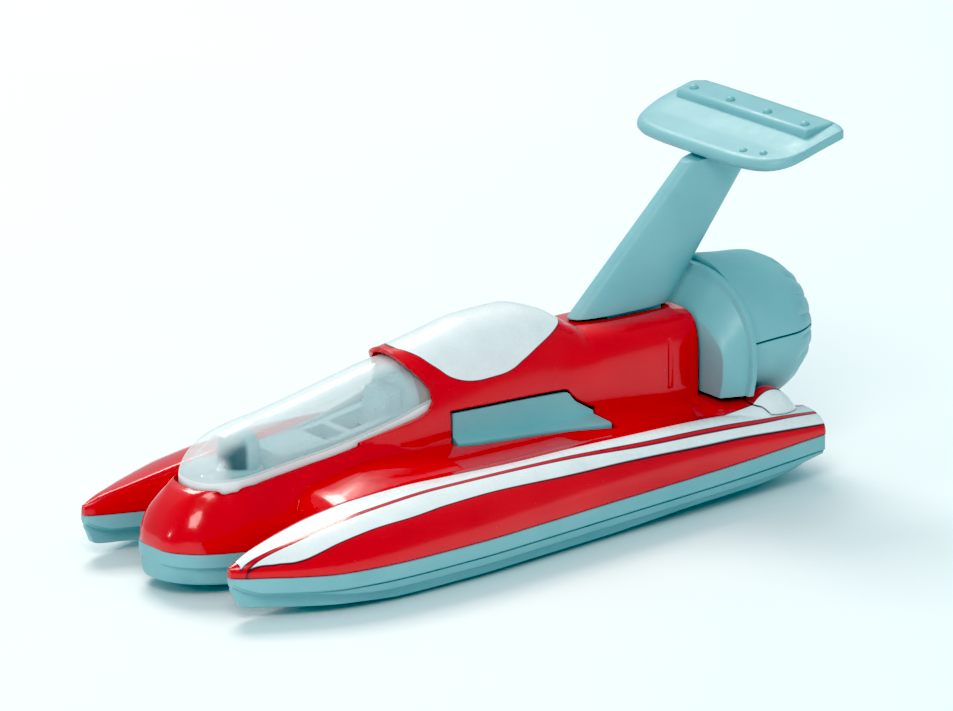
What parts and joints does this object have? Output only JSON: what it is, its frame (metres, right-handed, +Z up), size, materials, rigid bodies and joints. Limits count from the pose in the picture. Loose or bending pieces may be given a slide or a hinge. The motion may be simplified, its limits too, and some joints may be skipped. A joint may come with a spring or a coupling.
{
  "type": "toy racing hydroplane",
  "caption": "Die-cast toy racing boat on three hulls, with a clear canopy, a raked tail fin carrying a wing, a round engine and hidden rollers underneath.",
  "frame": {"origin": "on the ground under the middle of the boat, at the centre of its bounding box's bottom", "axes": "+X to the boat's port side, the bow towards -Y, +Z up"},
  "size_m": [0.0362, 0.0793, 0.0381],
  "materials": {
    "red_paint": "gloss",
    "grey_plastic": "satin",
    "clear_plastic": "gloss",
    "black_plastic": "satin",
    "steel_wire": "satin"
  },
  "bodies": {
    "boat": {"body_casting": "red_paint", "base": "grey_plastic", "canopy": "clear_plastic", "cockpit": "grey_plastic", "vent_port": "grey_plastic", "vent_starboard": "grey_plastic", "tail_fin": "grey_plastic", "wing": "grey_plastic", "engine_collar": "grey_plastic", "engine_upper": "grey_plastic", "engine_lower": "grey_plastic", "exhaust_cone": "grey_plastic", "front_axle": "steel_wire", "rear_axle": "steel_wire"},
    "front_wheel_port": {"front_wheel_port": "black_plastic"},
    "front_wheel_starboard": {"front_wheel_starboard": "black_plastic"},
    "rear_wheel_port": {"rear_wheel_port": "black_plastic"},
    "rear_wheel_starboard": {"rear_wheel_starboard": "black_plastic"}
  },
  "joints": [
    {"name": "front_wheel_port_spin", "type": "hinge", "parent": "boat", "child": "front_wheel_port", "pos_m": [0.0037, -0.02225, 0.002], "axis": [1, 0, 0], "continuous": true},
    {"name": "front_wheel_starboard_spin", "type": "hinge", "parent": "boat", "child": "front_wheel_starboard", "pos_m": [-0.0037, -0.02225, 0.002], "axis": [1, 0, 0], "continuous": true},
    {"name": "rear_wheel_port_spin", "type": "hinge", "parent": "boat", "child": "rear_wheel_port", "pos_m": [0.0037, 0.01975, 0.002], "axis": [1, 0, 0], "continuous": true},
    {"name": "rear_wheel_starboard_spin", "type": "hinge", "parent": "boat", "child": "rear_wheel_starboard", "pos_m": [-0.0037, 0.01975, 0.002], "axis": [1, 0, 0], "continuous": true}
  ]
}
